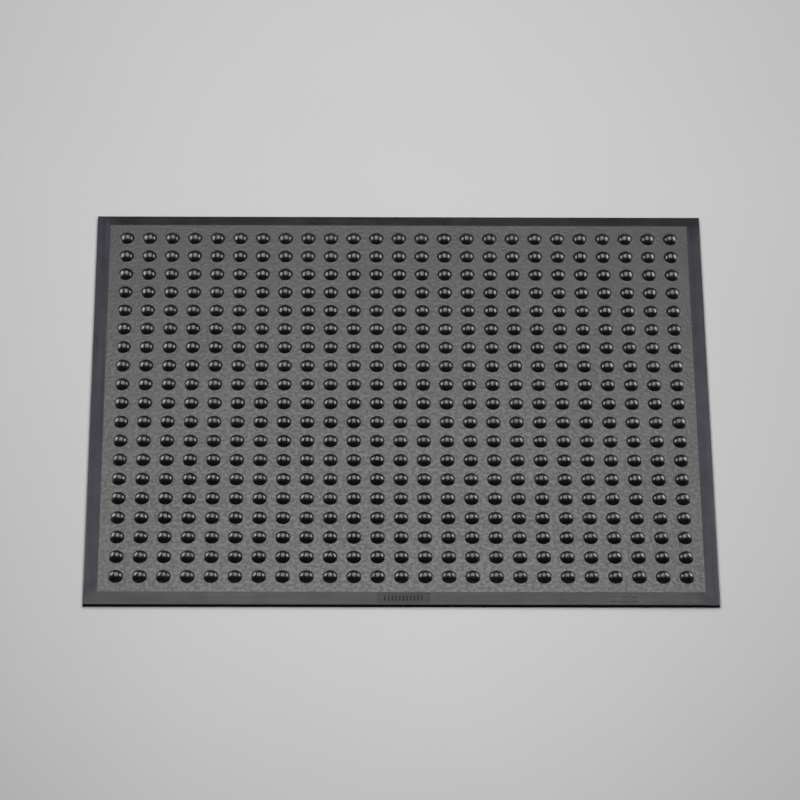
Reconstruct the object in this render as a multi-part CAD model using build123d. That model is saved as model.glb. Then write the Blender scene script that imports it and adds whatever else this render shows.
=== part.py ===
"""A dome-top rubber floor mat: a moulded cover with hollow domes, bonded over a film, a foam core and a base.

Units are millimetres. +X runs along the mat's long side, +Y away from the marked edge and +Z up.
The origin is the middle of the footprint, on the floor.
"""

import math
import os

from build123d import *

# Dome grid
COLUMNS, ROWS = 25, 19
PITCH = 33.75
DOME_RADIUS = 10.6
DOME_HEIGHT = 8.5
DOME_ROOT_FILLET = 1.2
DOME_WALL = 2.0

# Cover: a flat field with a sloping border that ends in an upright lip
FIELD_MARGIN = 26.0
BEVEL_WIDTH = 19.0
LIP_HEIGHT = 6.5
FIELD_HEIGHT = 10.1
COVER_THICKNESS = 2.5
CORNER_RADIUS = 2.0
LIP_CHAMFER = 0.8

# Layers in the recess under the field, from the floor up
BORDER_INSET = 2.0
BOND_CLEARANCE = 0.4
PAD_HEIGHT = 1.2
PAD_RADIUS = 7.0
BASE_THICKNESS = 2.0
FILM_THICKNESS = 0.6

# Name plate in the front border, its inset taken from the lip to its middle, and the small marks of the mould
PLATE_LENGTH = 75.0
PLATE_DEPTH = 16.0
PLATE_THICKNESS = 1.6
PLATE_SINK = 0.3
PLATE_OFFSET_X = 2.5
PLATE_INSET = 10.25
PLATE_RIBS = 11
RIB_PITCH = 5.2
RIB_LENGTH = 8.0
RIB_WIDTH = 2.2
RIB_HEIGHT = 0.6
RIB_ROOT = 0.1
MARK_X = 315.0
MARK_COUNT = 3
MARK_PITCH = 15.5
MARK_SIDE = 8.5
MARK_STROKE = 1.7
MARK_HEIGHT = 0.6
PIP_X, PIP_Y = 425.0, -306.0
PIP_RADIUS = 1.8
PIP_DEPTH = 0.8

FIELD_X = (COLUMNS - 1) * PITCH + 2 * FIELD_MARGIN
FIELD_Y = (ROWS - 1) * PITCH + 2 * FIELD_MARGIN
MAT_X = FIELD_X + 2 * BEVEL_WIDTH
MAT_Y = FIELD_Y + 2 * BEVEL_WIDTH
RECESS_X = FIELD_X - 2 * BORDER_INSET
RECESS_Y = FIELD_Y - 2 * BORDER_INSET
RECESS_TOP = FIELD_HEIGHT - COVER_THICKNESS
BASE_TOP = PAD_HEIGHT + BASE_THICKNESS
FILM_BOTTOM = RECESS_TOP - FILM_THICKNESS
BEVEL_SLOPE = (FIELD_HEIGHT - LIP_HEIGHT) / BEVEL_WIDTH

# Sphere that the dome is a cap of, measured from the field
SPHERE_RADIUS = (DOME_RADIUS**2 + DOME_HEIGHT**2) / (2 * DOME_HEIGHT)
SPHERE_Z = DOME_HEIGHT - SPHERE_RADIUS
EMBED = 0.5


def block(x, y, low, high):
    """A box centred in plan, from one height to another."""
    return Pos(0, 0, low) * Box(x, y, high - low, align=(Align.CENTER, Align.CENTER, Align.MIN))


def dome():
    """A spherical cap with a concave fillet at its root, standing on the field and sunk a little into it."""
    reach = SPHERE_RADIUS + DOME_ROOT_FILLET
    fillet_x = math.sqrt(reach**2 - (DOME_ROOT_FILLET - SPHERE_Z) ** 2)
    share = SPHERE_RADIUS / reach
    touch = (fillet_x * share, SPHERE_Z + (DOME_ROOT_FILLET - SPHERE_Z) * share)
    half_turn = 0.5 * math.atan2(touch[0], touch[1] - SPHERE_Z)
    crown_middle = (SPHERE_RADIUS * math.sin(half_turn), SPHERE_Z + SPHERE_RADIUS * math.cos(half_turn))
    foot_turn = 0.5 * math.atan2(fillet_x - touch[0], DOME_ROOT_FILLET - touch[1])
    foot_middle = (
        fillet_x - DOME_ROOT_FILLET * math.sin(foot_turn),
        DOME_ROOT_FILLET - DOME_ROOT_FILLET * math.cos(foot_turn),
    )
    with BuildPart() as made:
        with BuildSketch(Plane.XZ):
            with BuildLine():
                ThreePointArc((0, DOME_HEIGHT), crown_middle, touch)
                ThreePointArc(touch, foot_middle, (fillet_x, 0))
                Polyline((fillet_x, 0), (fillet_x, -EMBED), (0, -EMBED), (0, DOME_HEIGHT))
            make_face()
        revolve(axis=Axis.Z)
    return Pos(0, 0, FIELD_HEIGHT) * made.part


def dome_cavity():
    """The air space inside a dome: a hemisphere on a short cylinder, open into the recess."""
    radius = SPHERE_RADIUS - DOME_WALL
    crown = SPHERE_Z + radius
    low = -COVER_THICKNESS - EMBED
    tilt = math.sin(math.pi / 4)
    with BuildPart() as made:
        with BuildSketch(Plane.XZ):
            with BuildLine():
                ThreePointArc((0, crown), (radius * tilt, SPHERE_Z + radius * tilt), (radius, SPHERE_Z))
                Polyline((radius, SPHERE_Z), (radius, low), (0, low), (0, crown))
            make_face()
        revolve(axis=Axis.Z)
    return Pos(0, 0, FIELD_HEIGHT) * made.part


def grid(shape, columns, rows):
    """Copies of a shape on a centred square grid at the dome pitch."""
    return [place * shape for place in GridLocations(PITCH, PITCH, columns, rows)]


def spread(count):
    """Positions of the border marks along X, centred on zero."""
    return [(i - (count - 1) / 2) * MARK_PITCH for i in range(count)]


def cover_blank():
    """The cover's outside without its domes: upright lip, small chamfer, sloping border and flat field."""
    levels = [
        (0.0, 0.0),
        (LIP_HEIGHT - LIP_CHAMFER, 0.0),
        (LIP_HEIGHT + LIP_CHAMFER * BEVEL_SLOPE, LIP_CHAMFER),
        (FIELD_HEIGHT, BEVEL_WIDTH),
    ]
    outlines = [Pos(0, 0, z) * Rectangle(MAT_X - 2 * inset, MAT_Y - 2 * inset) for z, inset in levels]
    upright = block(MAT_X, MAT_Y, 0, FIELD_HEIGHT)
    upright = fillet(upright.edges().filter_by(Axis.Z), CORNER_RADIUS)
    return loft(outlines, ruled=True) & upright


def on_front_slope(x, inset):
    """A place on the front border's slope, tilted with it, at a distance from the lip."""
    tilt = math.degrees(math.atan(BEVEL_SLOPE))
    return Pos(x, inset - MAT_Y / 2, LIP_HEIGHT + inset * BEVEL_SLOPE) * Rot(tilt, 0, 0)


def plate_pocket():
    """The space cut out of the front border for the name plate, open upwards."""
    pocket = block(PLATE_LENGTH, PLATE_DEPTH, -PLATE_SINK - PLATE_THICKNESS, PLATE_THICKNESS)
    return on_front_slope(PLATE_OFFSET_X, PLATE_INSET) * pocket


def name_plate():
    """A blank plate with a row of plain ribs, laid in its pocket."""
    slab = block(PLATE_LENGTH, PLATE_DEPTH, -PLATE_SINK - PLATE_THICKNESS, -PLATE_SINK)
    rib_outline = SlotOverall(RIB_LENGTH, RIB_WIDTH, rotation=90)
    rib = extrude(Pos(0, 0, -PLATE_SINK - RIB_ROOT) * rib_outline, RIB_HEIGHT + RIB_ROOT)
    ribs = [place * rib for place in GridLocations(RIB_PITCH, RIB_PITCH, PLATE_RIBS, 1)]
    return on_front_slope(PLATE_OFFSET_X, PLATE_INSET) * (slab + ribs)


def border_marks():
    """Plain raised frames with a dot between neighbours, standing square to the front border's slope."""
    place = on_front_slope(MARK_X, BEVEL_WIDTH / 2)
    inside = MARK_SIDE - 2 * MARK_STROKE
    frame = Box(MARK_SIDE, MARK_SIDE, 2 * MARK_HEIGHT) - Box(inside, inside, 4 * MARK_HEIGHT)
    dot = Box(MARK_STROKE, MARK_STROKE, 2 * MARK_HEIGHT)
    dot_y = (MARK_STROKE - MARK_SIDE) / 2
    frames = [place * Pos(x, 0, 0) * frame for x in spread(MARK_COUNT)]
    dots = [place * Pos(x, dot_y, 0) * dot for x in spread(MARK_COUNT - 1)]
    return frames + dots


def top_cover():
    """The moulded nitrile cover: border, field and hollow domes in one piece."""
    cover = cover_blank() - block(RECESS_X, RECESS_Y, -1, RECESS_TOP) - plate_pocket()
    cover = cover + border_marks()
    cover = cover + grid(dome(), COLUMNS, ROWS)
    cover = cover - grid(dome_cavity(), COLUMNS, ROWS)
    pip = Cylinder(PIP_RADIUS, 2 * PIP_DEPTH)
    return cover - Pos(PIP_X, PIP_Y, FIELD_HEIGHT) * pip


def sealing_film():
    """The film bonded under the cover, which closes the domes so that they hold air."""
    return block(RECESS_X - BOND_CLEARANCE, RECESS_Y - BOND_CLEARANCE, FILM_BOTTOM, RECESS_TOP)


def cushion_core():
    """The closed-cell foam slab."""
    return block(RECESS_X - BOND_CLEARANCE, RECESS_Y - BOND_CLEARANCE, BASE_TOP, FILM_BOTTOM)


def base_sheet():
    """The bottom sheet, with round grip pads that stand on the floor between the domes."""
    sheet = block(RECESS_X - BOND_CLEARANCE, RECESS_Y - BOND_CLEARANCE, PAD_HEIGHT, BASE_TOP)
    pad = Cylinder(PAD_RADIUS, PAD_HEIGHT + EMBED, align=(Align.CENTER, Align.CENTER, Align.MIN))
    return sheet + grid(pad, COLUMNS - 1, ROWS - 1)


NODES = {
    "top_cover": top_cover,
    "name_plate": name_plate,
    "sealing_film": sealing_film,
    "cushion_core": cushion_core,
    "base_sheet": base_sheet,
}

os.makedirs("parts", exist_ok=True)
for node, make in NODES.items():
    export_step(make(), f"parts/{node}.step")
    print(node, "written")
print("mat", round(MAT_X, 2), "x", round(MAT_Y, 2), "x", round(FIELD_HEIGHT + DOME_HEIGHT, 2))
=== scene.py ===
"""Looks for a dome-top rubber floor mat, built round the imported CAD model.

The frame is the CAD's own: +X along the long side, +Y away from the plate, +Z up. The mat's sizes are in
millimetres, and become metres as each mesh is made. Lights, floor and camera are in metres.
"""

import math

import bpy
import numpy as np
from mathutils import Matrix, Vector


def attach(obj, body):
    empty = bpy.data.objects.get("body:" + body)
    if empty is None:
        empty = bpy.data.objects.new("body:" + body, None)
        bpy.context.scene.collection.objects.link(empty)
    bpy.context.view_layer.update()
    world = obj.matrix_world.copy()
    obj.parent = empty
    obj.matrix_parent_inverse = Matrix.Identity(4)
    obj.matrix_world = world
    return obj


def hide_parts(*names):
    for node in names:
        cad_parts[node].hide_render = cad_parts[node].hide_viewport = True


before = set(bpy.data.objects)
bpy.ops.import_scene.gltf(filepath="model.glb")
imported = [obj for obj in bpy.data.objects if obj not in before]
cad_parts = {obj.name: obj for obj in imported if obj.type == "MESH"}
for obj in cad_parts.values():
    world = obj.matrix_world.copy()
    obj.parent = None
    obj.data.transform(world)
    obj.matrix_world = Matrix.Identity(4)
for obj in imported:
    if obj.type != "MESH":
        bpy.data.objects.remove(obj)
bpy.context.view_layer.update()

MM = 0.001

# Dome grid, as in the CAD
COLUMNS, ROWS = 25, 19
PITCH = 33.75
DOME_RADIUS = 10.6
DOME_HEIGHT = 8.5
ROOT_FILLET = 1.2
FIELD_HEIGHT = 10.1
LIP_HEIGHT = 6.5
FIELD_MARGIN = 26.0
BEVEL_WIDTH = 19.0
RECESS_INSET = 2.0
RECESS_TOP = 7.6
SIDES = 24
CAP_ANGLES = (15.0, 30.0, 45.0, 59.0)
DOME_SPREAD = 0.012
LIP_ROUND, LIP_STEPS = 0.9, 4
FOOT_ROUND = 0.5
CREASE = 0.75

# The cover's material slots
FIELD, BORDER, LIP = 0, 1, 2

# Plate pocket and marks of the mould
PLATE_X, PLATE_INSET = 2.5, 10.25
PLATE_LENGTH, PLATE_DEPTH, PLATE_THICKNESS, PLATE_SINK = 75.0, 16.0, 1.6, 0.3
PLATE_EDGE = 0.3
RIB_COUNT, RIB_PITCH = 11, 5.2
RIB_LENGTH, RIB_WIDTH, RIB_HEIGHT, RIB_ROOT, RIB_EDGE = 8.0, 2.2, 0.6, 0.1, 0.3
POCKET_X = (PLATE_X - PLATE_LENGTH / 2, PLATE_X + PLATE_LENGTH / 2)
POCKET_DEPTH = PLATE_SINK + PLATE_THICKNESS
MARK_X, MARK_PITCH, MARK_COUNT = 315.0, 15.5, 3
MARK_SIDE, MARK_STROKE, MARK_HEIGHT, MARK_EDGE = 8.5, 1.7, 0.6, 0.2
PIP_X, PIP_Y, PIP_RADIUS, PIP_DEPTH = 425.0, -306.0, 1.8, 0.8
PIP_SIDES, PIP_FLOOR = 16, 0.8

# Layers under the cover
BOND_CLEARANCE = 0.4
PAD_RADIUS, PAD_HEIGHT, PAD_EDGE, PAD_SIDES = 7.0, 1.2, 0.35, 16
PAD_MARGIN, PAD_ROOT, PAD_FLARE = 2.2, 0.2, 0.3
BASE_TOP = 3.2
BASE_EDGE, BASE_EDGE_MIDDLE = 0.3, 0.09
FILM_BOTTOM = 7.0
CORE_EDGE, CORE_INNER = 0.6, 0.9

SPHERE_RADIUS = (DOME_RADIUS**2 + DOME_HEIGHT**2) / (2 * DOME_HEIGHT)
SPHERE_Z = DOME_HEIGHT - SPHERE_RADIUS
EDGE_MARGIN = FIELD_MARGIN - PITCH / 2
LAYER_X = (COLUMNS - 1) * PITCH / 2 + FIELD_MARGIN - RECESS_INSET - BOND_CLEARANCE / 2
LAYER_Y = (ROWS - 1) * PITCH / 2 + FIELD_MARGIN - RECESS_INSET - BOND_CLEARANCE / 2
MAT_HALF_Y = (ROWS - 1) * PITCH / 2 + FIELD_MARGIN + BEVEL_WIDTH
SLOPE_TILT = math.atan((FIELD_HEIGHT - LIP_HEIGHT) / BEVEL_WIDTH)
POCKET_REACH = PLATE_DEPTH / 2 * math.cos(SLOPE_TILT)


def lean_of(angle, nx, ny):
    """A unit normal leaning by an angle from upright, towards a plan direction."""
    return (math.sin(angle) * nx, math.sin(angle) * ny, math.cos(angle))


def plan_key(x, y):
    """A key for a place in plan. Half the pitch is a whole number of eighths, so none falls on a tie."""
    return (round(x * 8), round(y * 8))


def dome_profile():
    """Rings of a dome from its crown outwards: radius, height above the field, the normal's lean, gloss."""
    reach = SPHERE_RADIUS + ROOT_FILLET
    foot = math.sqrt(reach**2 - (ROOT_FILLET - SPHERE_Z) ** 2)
    turn = math.atan2(foot, ROOT_FILLET - SPHERE_Z)
    angles = [math.radians(a) for a in CAP_ANGLES] + [turn]
    rings = []
    for a in angles:
        rings.append((SPHERE_RADIUS * math.sin(a), SPHERE_Z + SPHERE_RADIUS * math.cos(a), a, 1.0))
    half = turn / 2
    rings.append((foot - ROOT_FILLET * math.sin(half), ROOT_FILLET * (1 - math.cos(half)), half, 0.5))
    rings.append((foot, 0.0, 0.0, 0.0))
    return rings


class MeshMaker:
    """Collects points, in millimetres, with their normals and faces, then makes a mesh in metres."""

    def __init__(self):
        self.points = []
        self.normals = []
        self.faces = []
        self.flat = []
        self.parts = []
        self.marks = {"gloss": [], "side": []}
        self.shared = {}

    def point(self, x, y, z, normal=(0, 0, 1), **marks):
        self.points.append((x, y, z))
        self.normals.append(normal)
        for label, values in self.marks.items():
            values.append(marks.get(label, 0.0))
        return len(self.points) - 1

    def shared_point(self, x, y, z, normal):
        """The point at a place in plan that neighbouring cells have in common."""
        key = plan_key(x, y)
        if key not in self.shared:
            self.shared[key] = self.point(x, y, z, normal)
        return self.shared[key]

    def face(self, *corners, flat=False, part=0):
        """One face; flat ones take their own normal, and part picks the material."""
        self.faces.append(corners)
        self.flat.append(flat)
        self.parts.append(part)

    def strip(self, first, second, flat=False, skip=(), part=0):
        """Quads between two closed rings of equal length."""
        count = len(first)
        for i in range(count):
            j = (i + 1) % count
            if i not in skip:
                self.face(first[i], second[i], second[j], first[j], flat=flat, part=part)

    def cell(self, x, y, z, profile, sides, up=1, rise=1.0):
        """A round boss in the middle of a square of sheet that faces up (1) or down (-1)."""
        turns = [up * 2 * math.pi * k / sides for k in range(sides)]
        rings = []
        for radius, height, lean, gloss in profile:
            ring = []
            for t in turns:
                nx, ny, nz = lean_of(lean, math.cos(t), math.sin(t))
                place = (x + radius * math.cos(t), y + radius * math.sin(t), z + up * height * rise)
                ring.append(self.point(*place, (nx, ny, nz * up), gloss=gloss))
            rings.append(ring)
        outline = []
        for t in turns:
            reach = PITCH / 2 / max(abs(math.cos(t)), abs(math.sin(t)))
            place = (x + reach * math.cos(t), y + reach * math.sin(t), z)
            outline.append(self.shared_point(*place, (0, 0, up)))
        for inner, outer in zip(rings, rings[1:] + [outline]):
            self.strip(inner, outer)
        return rings[0]

    def cap(self, ring, place, normal, gloss=0.0):
        """A fan that closes a ring at one point."""
        crown = self.point(*place, normal, gloss=gloss)
        for k in range(len(ring)):
            self.face(crown, ring[k], ring[(k + 1) % len(ring)])

    def grid_edge(self, xs, ys):
        """The shared points round the outside of the cells, anticlockwise from the front left corner."""
        return [self.shared[plan_key(x, y)] for x, y, _, _ in around(xs, ys, xs[-1], ys[-1])]

    def ring(self, xs, ys, half_x, half_y, z, lean, nudge=None, up=1):
        """Points round a rectangle, matched to the stations of the cells inside it.

        nudge moves stations along the front edge, and up is -1 where the surface faces down.
        """
        ring = []
        for x, y, nx, ny in around(xs, ys, half_x, half_y):
            if nudge and ny == -1:
                x = nudge.get(round(x, 2), x)
            tilt_x, tilt_y, tilt_z = lean_of(lean, nx, ny)
            ring.append(self.point(x, y, z, (tilt_x, tilt_y, tilt_z * up), side=abs(nx)))
        return ring

    def lid(self, ring, xs, ys, up):
        """Closes a rectangular ring with flat faces that face up (1) or down (-1)."""
        nx, ny = len(xs), len(ys)
        front = ring[:nx]
        right = ring[nx - 1:nx + ny - 1]
        back = list(reversed(ring[nx + ny - 2:2 * nx + ny - 2]))
        left = [ring[0]] + list(reversed(ring[2 * nx + ny - 3:]))
        faces = [(front[i], front[i + 1], back[i + 1], back[i]) for i in range(1, nx - 2)]
        for chain, near, far, outside in ((left, front[1], back[1], -1), (right, front[-2], back[-2], 1)):
            middle = len(chain) // 2
            fan = [(chain[k], chain[k + 1], near if k < middle else far) for k in range(len(chain) - 1)]
            fan.append((chain[middle], far, near))
            faces.extend(corners if outside == 1 else tuple(reversed(corners)) for corners in fan)
        for corners in faces:
            self.face(*(corners if up == 1 else reversed(corners)), flat=True)

    def drop_unused(self):
        """Removes the points that no face uses."""
        used = sorted({v for face in self.faces for v in face})
        place = {old: new for new, old in enumerate(used)}
        self.points = [self.points[v] for v in used]
        self.normals = [self.normals[v] for v in used]
        self.marks = {label: [values[v] for v in used] for label, values in self.marks.items()}
        self.faces = [tuple(place[v] for v in face) for face in self.faces]

    def mesh(self, name):
        self.drop_unused()
        mesh = bpy.data.meshes.new(name)
        mesh.from_pydata([tuple(c * MM for c in p) for p in self.points], [], self.faces)
        mesh.update()
        for label, values in self.marks.items():
            layer = mesh.attributes.new(label, "FLOAT", "POINT")
            layer.data.foreach_set("value", np.array(values, np.float32))
        mesh.shade_smooth()
        mesh.polygons.foreach_set("material_index", self.parts)
        corners = []
        for polygon, flat in zip(mesh.polygons, self.flat):
            if flat:
                corners.extend([tuple(polygon.normal)] * polygon.loop_total)
            else:
                corners.extend(Vector(self.normals[v]).normalized() for v in polygon.vertices)
        mesh.normals_split_custom_set(corners)
        return mesh


def stations(count, sides):
    """Positions of the shared points along a row of cells, whose sides are a multiple of eight."""
    reach = sides // 8
    step = 2 * math.pi / sides
    offsets = [math.tan(step * k) * PITCH / 2 for k in range(-reach, reach + 1)]
    found = []
    for cell in range(count):
        middle = (cell - (count - 1) / 2) * PITCH
        found.extend(middle + o for o in offsets[(1 if cell else 0):])
    return found


def around(xs, ys, half_x, half_y):
    """Places and outward directions round a rectangle, anticlockwise from the front left corner."""
    def at(value, values, half):
        return math.copysign(half, value) if value in (values[0], values[-1]) else value

    plan = [(x, -half_y, 0, -1) for x in xs[:-1]]
    plan += [(half_x, y, 1, 0) for y in ys[:-1]]
    plan += [(x, half_y, 0, 1) for x in reversed(xs[1:])]
    plan += [(-half_x, y, -1, 0) for y in reversed(ys[1:])]
    return [(at(x, xs, half_x), at(y, ys, half_y), nx, ny) for x, y, nx, ny in plan]


def rounding(radius, outer, top, first, last, steps):
    """Border levels round a convex edge: offset, height, lean."""
    found = []
    for k in range(steps):
        a = math.radians(first + (last - first) * k / (steps - 1))
        found.append((outer - radius + radius * math.sin(a), top - radius + radius * math.cos(a), a))
    return found


def cover_mesh():
    """The moulded cover as one closed skin: domes, field, border, lip, rim and recess."""
    maker = MeshMaker()
    profile = dome_profile()
    chance = np.random.default_rng(7)
    for j in range(ROWS):
        for i in range(COLUMNS):
            x, y = (i - (COLUMNS - 1) / 2) * PITCH, (j - (ROWS - 1) / 2) * PITCH
            rise = 1.0 - abs(chance.normal(0.0, DOME_SPREAD))
            top = maker.cell(x, y, FIELD_HEIGHT, profile, SIDES, rise=rise)
            maker.cap(top, (x, y, FIELD_HEIGHT + DOME_HEIGHT * rise), (0, 0, 1), gloss=1.0)
    xs, ys = stations(COLUMNS, SIDES), stations(ROWS, SIDES)
    half_x, half_y = xs[-1], ys[-1]

    # The border from the field outwards: offset from the dome grid, height, lean
    outer = EDGE_MARGIN + BEVEL_WIDTH
    slope = math.tan(SLOPE_TILT)
    levels = [(EDGE_MARGIN - CREASE, FIELD_HEIGHT, 0.0)]
    for inset in (BEVEL_WIDTH - CREASE, PLATE_INSET + POCKET_REACH, PLATE_INSET, PLATE_INSET - POCKET_REACH):
        levels.append((outer - inset, LIP_HEIGHT + inset * slope, SLOPE_TILT))
    lip_top = LIP_HEIGHT + LIP_ROUND * (1 - math.cos(SLOPE_TILT) + (1 - math.sin(SLOPE_TILT)) * slope)
    levels += rounding(LIP_ROUND, outer, lip_top, math.degrees(SLOPE_TILT), 90.0, LIP_STEPS)
    lip_start = len(levels) - 1
    for angle in (90.0, 135.0, 180.0):
        a = math.radians(angle)
        levels.append((outer - FOOT_ROUND * (1 - math.sin(a)), FOOT_ROUND * (1 + math.cos(a)), a))

    left = min(xs, key=lambda x: abs(x - POCKET_X[0]))
    right = min(xs, key=lambda x: abs(x - POCKET_X[1]))
    nudge = {round(left, 2): POCKET_X[0], round(right, 2): POCKET_X[1]}
    first, last = xs.index(left), xs.index(right)
    rings = [maker.grid_edge(xs, ys)]
    for offset, z, lean in levels:
        rings.append(maker.ring(xs, ys, half_x + offset, half_y + offset, z, lean, nudge))

    # Strips join each ring to the next. The pocket opens through two of them, and the pip through the first
    pocket_back, pocket_front = 3, 5
    pip = len(xs) - 1 + max(k for k, y in enumerate(ys) if y < PIP_Y)
    for n, (inner, far) in enumerate(zip(rings, rings[1:])):
        if n == 0:
            maker.strip(inner, far, skip=[pip], part=FIELD)
        elif pocket_back <= n < pocket_front:
            maker.strip(inner, far, skip=range(first, last), part=BORDER)
        else:
            maker.strip(inner, far, part=LIP if n >= lip_start else BORDER)
    add_pocket(maker, [ring[first:last + 1] for ring in rings[pocket_back:pocket_front + 1]])
    add_pip(maker, [rings[0][pip], rings[1][pip], rings[1][pip + 1], rings[0][pip + 1]])
    add_marks(maker)

    # Underside: the rim, the recess wall and the recess ceiling
    recess = EDGE_MARGIN - RECESS_INSET
    rim = maker.ring(xs, ys, half_x + recess, half_y + recess, 0.0, 0.0, up=-1)
    top = maker.ring(xs, ys, half_x + recess, half_y + recess, RECESS_TOP, 0.0, up=-1)
    maker.strip(rings[-1], rim, flat=True, part=BORDER)
    maker.strip(rim, top, flat=True, part=BORDER)
    maker.lid(top, xs, ys, -1)
    return maker.mesh("cover_moulding")


def add_pocket(maker, chains):
    """The plate's pocket, let square into the slope from the border points that cross it, back to front."""
    back, front = chains[0], chains[-1]
    down = Matrix.Rotation(SLOPE_TILT, 3, "X") @ Vector((0, 0, -POCKET_DEPTH))
    low_back = [maker.point(*(Vector(maker.points[v]) + down)) for v in back]
    low_front = [maker.point(*(Vector(maker.points[v]) + down)) for v in front]
    for i in range(len(back) - 1):
        maker.face(back[i], low_back[i], low_back[i + 1], back[i + 1], flat=True, part=BORDER)
        maker.face(low_back[i], low_front[i], low_front[i + 1], low_back[i + 1], flat=True, part=BORDER)
        maker.face(low_front[i], front[i], front[i + 1], low_front[i + 1], flat=True, part=BORDER)
    left = [chain[0] for chain in chains]
    right = [chain[-1] for chain in chains]
    maker.face(*left, low_front[0], low_back[0], flat=True, part=BORDER)
    maker.face(*reversed(right), low_back[-1], low_front[-1], flat=True, part=BORDER)


def add_pip(maker, corners):
    """A small round dimple inside one quad of the field's margin."""
    rim, bottom = [], []
    for k in range(PIP_SIDES):
        t = 2 * math.pi * k / PIP_SIDES - 3 * math.pi / 4
        for ring, radius, z in ((rim, PIP_RADIUS, FIELD_HEIGHT),
                                (bottom, PIP_FLOOR * PIP_RADIUS, FIELD_HEIGHT - PIP_DEPTH)):
            ring.append(maker.point(PIP_X + radius * math.cos(t), PIP_Y + radius * math.sin(t), z))
    share = PIP_SIDES // 4
    for c in range(4):
        here, following = corners[c], corners[(c + 1) % 4]
        start = c * share - share // 2
        for k in range(start, start + share):
            maker.face(here, rim[(k + 1) % PIP_SIDES], rim[k % PIP_SIDES], flat=True)
        maker.face(here, following, rim[(start + share) % PIP_SIDES], flat=True)
    for k in range(PIP_SIDES):
        j = (k + 1) % PIP_SIDES
        maker.face(rim[k], rim[j], bottom[j], bottom[k], flat=True)
    maker.face(*bottom, flat=True)


def slab_mesh(name, half_x, half_y, low, high, edge):
    """A slab with rounded upper and lower edges."""
    maker = MeshMaker()
    inner_x, inner_y = half_x * CORE_INNER, half_y * CORE_INNER
    xs = [-half_x + edge, *np.linspace(-inner_x, inner_x, COLUMNS), half_x - edge]
    ys = [-half_y + edge, *np.linspace(-inner_y, inner_y, ROWS), half_y - edge]
    quarter = (0.0, 30.0, 60.0, 90.0)
    rings = []
    for level, up, angles in ((high, 1, quarter), (low, -1, quarter[::-1])):
        for angle in angles:
            a = math.radians(angle)
            out = -edge + edge * math.sin(a)
            z = level - up * edge * (1 - math.cos(a))
            rings.append(maker.ring(xs, ys, half_x + out, half_y + out, z, a, up=up))
    for inner, far in zip(rings, rings[1:]):
        maker.strip(inner, far)
    maker.lid(rings[0], xs, ys, 1)
    maker.lid(rings[-1], xs, ys, -1)
    return maker.mesh(name)


def base_mesh():
    """The bottom sheet, with a grid of round pads under it."""
    maker = MeshMaker()
    upright = math.radians(90)
    profile = [(PAD_RADIUS - margin, PAD_HEIGHT, 0.0, 0.0) for margin in (PAD_MARGIN, PAD_EDGE)]
    for angle in (45.0, 90.0):
        a = math.radians(angle)
        radius = PAD_RADIUS - PAD_EDGE * (1 - math.sin(a))
        profile.append((radius, PAD_HEIGHT - PAD_EDGE * (1 - math.cos(a)), a, 0.0))
    profile.append((PAD_RADIUS, PAD_ROOT, upright, 0.0))
    profile.append((PAD_RADIUS + PAD_FLARE, 0.0, 0.0, 0.0))
    for j in range(ROWS - 1):
        for i in range(COLUMNS - 1):
            x, y = (i - (COLUMNS - 2) / 2) * PITCH, (j - (ROWS - 2) / 2) * PITCH
            top = maker.cell(x, y, PAD_HEIGHT, profile, PAD_SIDES, up=-1)
            maker.cap(top, (x, y, 0.0), (0, 0, -1))
    xs, ys = stations(COLUMNS - 1, PAD_SIDES), stations(ROWS - 1, PAD_SIDES)
    rings = [maker.grid_edge(xs, ys)]
    middle = BASE_EDGE_MIDDLE
    edge = [(BASE_EDGE, 0.0, 0.0), (middle, middle, upright / 2), (0.0, BASE_EDGE, upright)]
    for level, up, steps in ((PAD_HEIGHT, -1, edge), (BASE_TOP, 1, edge[::-1])):
        for inset, depth, lean in steps:
            z = level - up * depth
            rings.append(maker.ring(xs, ys, LAYER_X - inset, LAYER_Y - inset, z, lean, up=up))
    for inner, far in zip(rings, rings[1:]):
        maker.strip(far, inner)
    maker.lid(rings[-1], xs, ys, 1)
    return maker.mesh("grip_base")


class OnSlope:
    """Small raised shapes that stand square to the front border's slope, at a distance from the lip."""

    BEVEL_MIDDLE = 0.3

    def __init__(self, maker, x, inset, part):
        self.maker = maker
        self.middle = Vector((x, inset - MAT_HALF_Y, LIP_HEIGHT + inset * math.tan(SLOPE_TILT)))
        self.turn = Matrix.Rotation(SLOPE_TILT, 3, "X")
        self.part = part

    def loop(self, outline, z):
        """A plan outline at a height above the slope, as points of the mesh."""
        return [self.maker.point(*(self.middle + self.turn @ Vector((x, y, z)))) for x, y in outline]

    def walls(self, loops):
        """Flat faces that join each loop to the next."""
        for first, second in zip(loops, loops[1:]):
            for k in range(len(first)):
                j = (k + 1) % len(first)
                self.maker.face(first[k], first[j], second[j], second[k], flat=True, part=self.part)

    def prism(self, outline, low, high, edge):
        """A closed block whose top edge is bevelled; outline(shrink) gives its plan."""
        middle = self.BEVEL_MIDDLE * edge
        sizes = ((0, low), (0, high - edge), (middle, high - middle), (edge, high))
        loops = [self.loop(outline(shrink), z) for shrink, z in sizes]
        self.walls(loops)
        self.maker.face(*loops[-1], flat=True, part=self.part)
        self.maker.face(*reversed(loops[0]), flat=True, part=self.part)

    def frame(self, outline, stroke, low, high, edge):
        """An open frame with both top edges bevelled."""
        outside = ((0, low), (0, high - edge), (edge, high))
        sizes = outside + tuple((stroke - shrink, z) for shrink, z in reversed(outside))
        loops = [self.loop(outline(shrink), z) for shrink, z in sizes]
        self.walls(loops + loops[:1])


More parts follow.
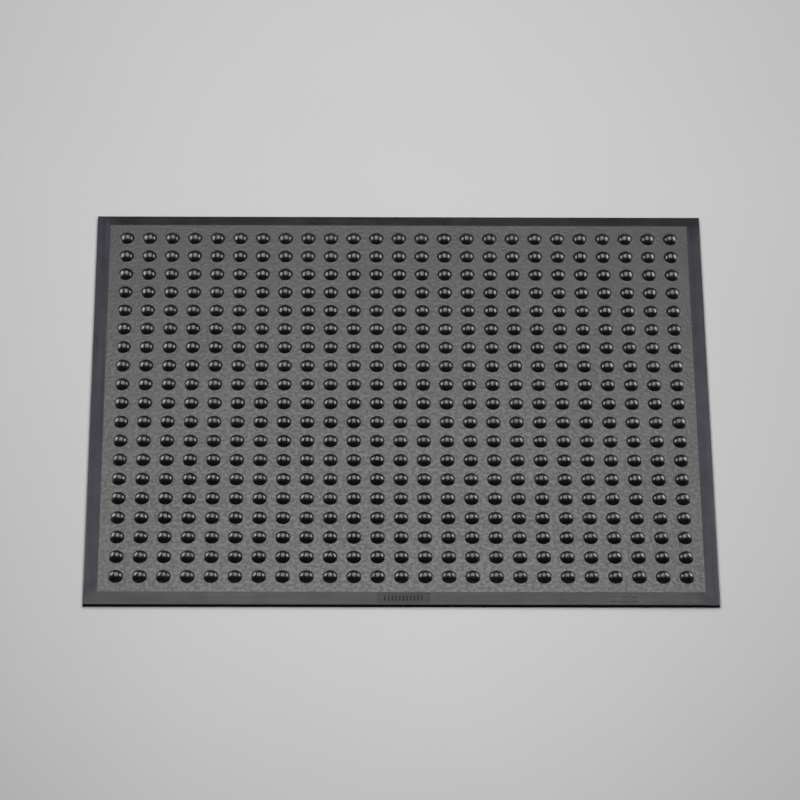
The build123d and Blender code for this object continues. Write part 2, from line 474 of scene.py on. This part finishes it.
def box_outline(x, y, half_x, half_y):
    """A rectangle round a middle."""
    corners = ((-1, -1), (1, -1), (1, 1), (-1, 1))
    return lambda shrink: [(x + sx * (half_x - shrink), y + sy * (half_y - shrink)) for sx, sy in corners]


def slot_outline(x, y, length, width):
    """A slot along Y with round ends."""
    steps = 6

    def outline(shrink):
        radius, reach = width / 2 - shrink, (length - width) / 2
        ends = []
        for side in (1, -1):
            for k in range(steps + 1):
                t = math.pi * k / steps + (0 if side == 1 else math.pi)
                ends.append((x + radius * math.cos(t), y + side * reach + radius * math.sin(t)))
        return ends

    return outline


def add_marks(maker):
    """Raised frames with a dot between neighbours, on the front border."""
    work = OnSlope(maker, MARK_X, BEVEL_WIDTH / 2, BORDER)
    half, small = MARK_SIDE / 2, MARK_STROKE / 2
    for n in range(MARK_COUNT):
        x = (n - (MARK_COUNT - 1) / 2) * MARK_PITCH
        work.frame(box_outline(x, 0, half, half), MARK_STROKE, -MARK_HEIGHT, MARK_HEIGHT, MARK_EDGE)
    for n in range(MARK_COUNT - 1):
        x = (n - (MARK_COUNT - 2) / 2) * MARK_PITCH
        work.prism(box_outline(x, small - half, small, small), -MARK_HEIGHT, MARK_HEIGHT, MARK_EDGE)


def plate_mesh():
    """The blank plate in its pocket, with a row of plain ribs."""
    maker = MeshMaker()
    slab = OnSlope(maker, PLATE_X, PLATE_INSET, 0)
    ribs = OnSlope(maker, PLATE_X, PLATE_INSET, 1)
    top = -PLATE_SINK
    outline = box_outline(0, 0, PLATE_LENGTH / 2, PLATE_DEPTH / 2)
    slab.prism(outline, top - PLATE_THICKNESS, top, PLATE_EDGE)
    for n in range(RIB_COUNT):
        x = (n - (RIB_COUNT - 1) / 2) * RIB_PITCH
        ribs.prism(slot_outline(x, 0, RIB_LENGTH, RIB_WIDTH), top - RIB_ROOT, top + RIB_HEIGHT, RIB_EDGE)
    return maker.mesh("ribbed_plate")


def new_piece(name, mesh):
    """An object of that mesh, in the scene."""
    piece = bpy.data.objects.new(name, mesh)
    bpy.context.scene.collection.objects.link(piece)
    return piece


# ---------------------------------------------------------------- materials


class Nodes:
    """A short way to wire shader nodes."""

    def __init__(self, name):
        self.material = bpy.data.materials.new(name)
        self.material.use_nodes = True
        self.tree = self.material.node_tree
        self.tree.nodes.clear()
        self.output = self.tree.nodes.new("ShaderNodeOutputMaterial")
        self.shader = self.tree.nodes.new("ShaderNodeBsdfPrincipled")
        self.link(self.shader.outputs[0], self.output.inputs["Surface"])
        self.place = self.tree.nodes.new("ShaderNodeTexCoord").outputs["Object"]

    def link(self, source, target):
        self.tree.links.new(source, target)

    def give(self, socket, value):
        """Sets a socket of the shader to a number, or links a node's output to it."""
        if isinstance(value, bpy.types.NodeSocket):
            self.link(value, self.shader.inputs[socket])
        else:
            self.shader.inputs[socket].default_value = value

    def noise(self, scale, detail, rough=0.5, place=None):
        node = self.tree.nodes.new("ShaderNodeTexNoise")
        node.inputs["Scale"].default_value = scale
        node.inputs["Detail"].default_value = detail
        node.inputs["Roughness"].default_value = rough
        self.link(place or self.place, node.inputs["Vector"])
        return node.outputs["Fac"]

    def stretched(self, x, y, z):
        """The object's own coordinates, each multiplied, so that noise runs long where one is small."""
        node = self.tree.nodes.new("ShaderNodeMapping")
        node.inputs["Scale"].default_value = (x, y, z)
        self.link(self.place, node.inputs["Vector"])
        return node.outputs["Vector"]

    def attribute(self, name):
        node = self.tree.nodes.new("ShaderNodeAttribute")
        node.attribute_name = name
        return node.outputs["Fac"]

    def spread(self, value, low, high, to_low=0.0, to_high=1.0):
        """Maps low..high to to_low..to_high, and stops at both ends."""
        node = self.tree.nodes.new("ShaderNodeMapRange")
        for label, number in (("From Min", low), ("From Max", high), ("To Min", to_low), ("To Max", to_high)):
            node.inputs[label].default_value = number
        self.link(value, node.inputs["Value"])
        return node.outputs["Result"]

    def ramp(self, value, low, high):
        """From low to high as value goes from 0 to 1."""
        return self.spread(value, 0.0, 1.0, low, high)

    def blend(self, factor, first, second):
        """Between two colours, or two numbers, each a constant or a socket.

        The Mix node keeps its numbers at inputs 2 and 3, and its colours at inputs 6 and 7.
        """
        node = self.tree.nodes.new("ShaderNodeMix")
        colours = isinstance(first, (tuple, list)) or getattr(first, "type", "") == "RGBA"
        node.data_type = "RGBA" if colours else "FLOAT"
        pair = 6 if colours else 2
        for value, place in ((factor, 0), (first, pair), (second, pair + 1)):
            target = node.inputs[place]
            if isinstance(value, bpy.types.NodeSocket):
                self.link(value, target)
            elif colours and place:
                target.default_value = (*value, 1.0)
            else:
                target.default_value = value
        return node.outputs[2 if colours else 0]

    def bump(self, height, strength, distance, normal=None):
        node = self.tree.nodes.new("ShaderNodeBump")
        node.inputs["Strength"].default_value = strength
        node.inputs["Distance"].default_value = distance
        self.link(height, node.inputs["Height"])
        if normal is not None:
            self.link(normal, node.inputs["Normal"])
        return node.outputs["Normal"]


# The middle part of each kind of noise, which is spread over 0..1
BROAD, FINE, MOTTLED = (0.35, 0.65), (0.3, 0.7), (0.38, 0.62)

FIELD_DARK, FIELD_LIGHT = (0.001, 0.001, 0.002), (0.020, 0.020, 0.019)
DOME_DARK, DOME_LIGHT = (0.0025, 0.0025, 0.003), (0.0045, 0.0045, 0.005)
BORDER_DARK, BORDER_LIGHT = (0.008, 0.008, 0.008), (0.015, 0.015, 0.015)
# The short sides' bluish cast is a painted reflection tint, put in the colour.
SIDE_PAINTED_TINT_DARK, SIDE_PAINTED_TINT_LIGHT = (0.010, 0.009, 0.017), (0.018, 0.016, 0.030)
# The lip's near-black colour is painted shade, for the dark band along the mat's foot.
LIP_SHADE_DARK, LIP_SHADE_LIGHT = (0.002, 0.002, 0.003), (0.005, 0.005, 0.005)
PLATE_DARK, PLATE_LIGHT = (0.006, 0.006, 0.006), (0.011, 0.011, 0.011)
RIB_DARK, RIB_LIGHT = (0.002, 0.002, 0.002), (0.004, 0.004, 0.004)
BASE_DARK, BASE_LIGHT = (0.012, 0.012, 0.013), (0.02, 0.02, 0.02)
FILM_DARK, FILM_LIGHT = (0.05, 0.05, 0.05), (0.08, 0.08, 0.08)
FOAM_DARK, FOAM_LIGHT = (0.045, 0.045, 0.045), (0.085, 0.085, 0.085)
PAPER_DARK, PAPER_LIGHT = (0.477, 0.477, 0.477), (0.49, 0.49, 0.49)


def cover_material():
    """The field and the domes."""
    n = Nodes("moulded_nitrile")
    gloss = n.attribute("gloss")
    cloud = n.spread(n.noise(scale=9.0, detail=4.0), *BROAD)
    speck = n.spread(n.noise(scale=900.0, detail=2.0), *FINE)
    mottle = n.spread(n.noise(scale=190.0, detail=2.0), *MOTTLED)
    field = n.blend(n.blend(0.5, cloud, mottle), FIELD_DARK, FIELD_LIGHT)
    dome = n.blend(speck, DOME_DARK, DOME_LIGHT)
    n.give("Base Color", n.blend(gloss, field, dome))
    rough_field = n.ramp(mottle, 0.30, 0.50)
    rough_dome = n.ramp(cloud, 0.24, 0.31)
    n.give("Roughness", n.blend(gloss, rough_field, rough_dome))
    n.give("IOR", 1.6)
    grain = n.bump(n.noise(scale=1400.0, detail=2.0), strength=0.25, distance=0.0002)
    n.give("Normal", n.bump(mottle, strength=0.22, distance=0.0005, normal=grain))
    return n.material


def border_material():
    """The sloping border, with faint runs along each side, and on the short sides a bluish painted reflection
    tint in the colour.
    """
    n = Nodes("border_nitrile")
    side = n.attribute("side")
    runs_x = n.noise(scale=230.0, detail=3.0, place=n.stretched(0.02, 1.0, 1.0))
    runs_y = n.noise(scale=230.0, detail=3.0, place=n.stretched(1.0, 0.02, 1.0))
    runs = n.spread(n.blend(side, runs_x, runs_y), *BROAD)
    cloud = n.spread(n.noise(scale=38.0, detail=4.0, rough=0.6), *BROAD)
    mixed = n.blend(0.5, runs, cloud)
    long_side = n.blend(mixed, BORDER_DARK, BORDER_LIGHT)
    # Short sides: colour with a bluish painted reflection tint.
    short_side_painted_tint = n.blend(mixed, SIDE_PAINTED_TINT_DARK, SIDE_PAINTED_TINT_LIGHT)
    n.give("Base Color", n.blend(side, long_side, short_side_painted_tint))
    n.give("Roughness", n.ramp(mixed, 0.34, 0.50))
    n.give("Specular IOR Level", 0.35)
    grain = n.bump(n.noise(scale=700.0, detail=3.0), strength=0.3, distance=0.0002)
    n.give("Normal", n.bump(mixed, strength=0.25, distance=0.0005, normal=grain))
    return n.material


def lip_material():
    """The upright lip: rough, with a near-black colour and a low reflection that are painted shade for the
    dark band along the mat's foot.
    """
    n = Nodes("shaded_lip")
    cloud = n.spread(n.noise(scale=40.0, detail=4.0, place=n.stretched(1.0, 1.0, 4.0)), *BROAD)
    # Near-black colour and, below, a low reflection: painted shade along the foot of the mat.
    n.give("Base Color", n.blend(cloud, LIP_SHADE_DARK, LIP_SHADE_LIGHT))
    n.give("Roughness", n.spread(n.noise(scale=500.0, detail=2.0), *FINE, 0.72, 0.82))
    n.give("Specular IOR Level", 0.06)
    n.give("Normal", n.bump(n.noise(scale=900.0, detail=3.0), strength=0.4, distance=0.0003))
    return n.material


def plain_rubber(name, dark, light, roughness, grain, specular=0.5):
    """Clouded rubber or film, with a fine grain; roughness is its lowest and highest."""
    n = Nodes(name)
    n.give("Specular IOR Level", specular)
    cloud = n.spread(n.noise(scale=25.0, detail=4.0), *BROAD)
    n.give("Base Color", n.blend(cloud, dark, light))
    n.give("Roughness", n.spread(n.noise(scale=300.0, detail=2.0), *FINE, *roughness))
    n.give("Normal", n.bump(n.noise(scale=grain, detail=2.0), strength=0.3, distance=0.0002))
    return n.material


def foam_material():
    """Closed-cell foam: small pale-edged cells pressed into a dark slab."""
    n = Nodes("foam_cells")
    cells = n.tree.nodes.new("ShaderNodeTexVoronoi")
    cells.inputs["Scale"].default_value = 700.0
    n.link(n.place, cells.inputs["Vector"])
    wall = n.spread(cells.outputs["Distance"], 0.1, 0.6)
    n.give("Base Color", n.blend(wall, FOAM_DARK, FOAM_LIGHT))
    n.give("Roughness", n.ramp(wall, 0.85, 0.95))
    n.give("Normal", n.bump(wall, strength=0.6, distance=0.0005))
    return n.material


def floor_material():
    """Plain pale paper under the mat."""
    n = Nodes("paper_sweep")
    cloud = n.spread(n.noise(scale=2.0, detail=3.0), *FINE)
    n.give("Base Color", n.blend(cloud, PAPER_DARK, PAPER_LIGHT))
    n.give("Roughness", 0.9)
    n.give("Specular IOR Level", 0.1)
    return n.material


# ---------------------------------------------------------------- pieces

cover = new_piece("cover_moulding", cover_mesh())
for material in (cover_material(), border_material(), lip_material()):
    cover.data.materials.append(material)
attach(cover, "root")
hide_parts("top_cover")

core = new_piece("foam_core", slab_mesh("foam_core", LAYER_X, LAYER_Y, BASE_TOP, FILM_BOTTOM, CORE_EDGE))
core.data.materials.append(foam_material())
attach(core, "root")
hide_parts("cushion_core")

base = new_piece("grip_base", base_mesh())
base.data.materials.append(
    plain_rubber("base_nitrile", BASE_DARK, BASE_LIGHT, roughness=(0.55, 0.7), grain=1200.0)
)
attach(base, "root")
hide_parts("base_sheet")

plate = new_piece("ribbed_plate", plate_mesh())
for name, dark, light, roughness, specular in (
    ("plate_nitrile", PLATE_DARK, PLATE_LIGHT, (0.42, 0.52), 0.33),
    ("rib_nitrile", RIB_DARK, RIB_LIGHT, (0.40, 0.50), 0.16),
):
    plate.data.materials.append(
        plain_rubber(name, dark, light, roughness=roughness, grain=900.0, specular=specular)
    )
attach(plate, "root")
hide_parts("name_plate")

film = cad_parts["sealing_film"].data
film.materials.clear()
film.materials.append(
    plain_rubber("film_plastic", FILM_DARK, FILM_LIGHT, roughness=(0.4, 0.5), grain=500.0)
)

# ---------------------------------------------------------------- stage

FLOOR_SIDE, FLOOR_FRONT, FLOOR_BACK = 6, -5, 7
WORLD_STRENGTH = 0.03

floor_mesh = bpy.data.meshes.new("floor")
floor_mesh.from_pydata(
    [(-FLOOR_SIDE, FLOOR_FRONT, 0), (FLOOR_SIDE, FLOOR_FRONT, 0),
     (FLOOR_SIDE, FLOOR_BACK, 0), (-FLOOR_SIDE, FLOOR_BACK, 0)],
    [], [(0, 1, 2, 3)],
)
floor = new_piece("floor", floor_mesh)
floor.data.materials.append(floor_material())


def softbox(name, place, aim, width, depth, radiance, diffuse=True, glossy=True):
    """A rectangular light of a given brightness, which can be left out of matt or glossy reflection."""
    light = bpy.data.lights.new(name, "AREA")
    light.shape = "RECTANGLE"
    light.size, light.size_y = width, depth
    light.energy = radiance * math.pi * width * depth
    lamp = bpy.data.objects.new(name, light)
    bpy.context.scene.collection.objects.link(lamp)
    lamp.location = place
    lamp.rotation_euler = (Vector(aim) - Vector(place)).to_track_quat("-Z", "Y").to_euler()
    lamp.visible_diffuse = diffuse
    lamp.visible_glossy = glossy


softbox("overhead", (0, 0.80, 2.0), aim=(0, 1.15, 0), width=1.65, depth=2.5, radiance=4.7)
softbox("fill", (0, -0.6, 1.0), aim=(0, -0.6, 0), width=0.8, depth=0.8, radiance=2.4, glossy=False)
softbox("left", (-1.38, 0.52, 0.55), aim=(0, 0, 0), width=1.0, depth=0.8, radiance=7.2, diffuse=False)
softbox("right", (1.38, 0.52, 0.55), aim=(0, 0, 0), width=1.0, depth=0.8, radiance=7.6, diffuse=False)

world = bpy.data.worlds.new("studio")
world.use_nodes = True
background = world.node_tree.nodes["Background"]
background.inputs["Color"].default_value = (1, 1, 1, 1)
background.inputs["Strength"].default_value = WORLD_STRENGTH
bpy.context.scene.world = world

view = bpy.context.scene.view_settings
view.view_transform = "Standard"
view.look = "None"

# ---------------------------------------------------------------- camera

CAMERA_PLACE = Vector((-0.0942, -4.0775, 5.6050))
CAMERA_AIM = Vector((-0.0002, 0.0066, 0.0101))
CAMERA_ROLL = math.radians(1.186)
CAMERA_LENS, CAMERA_SENSOR = 214.2, 36.0

lens = bpy.data.cameras.new("camera")
lens.sensor_width = CAMERA_SENSOR
lens.lens = CAMERA_LENS
camera = bpy.data.objects.new("camera", lens)
bpy.context.scene.collection.objects.link(camera)
camera.location = CAMERA_PLACE
look = (CAMERA_AIM - CAMERA_PLACE).to_track_quat("-Z", "Y").to_matrix()
camera.rotation_euler = (look @ Matrix.Rotation(CAMERA_ROLL, 3, "Z")).to_euler()
bpy.context.scene.camera = camera
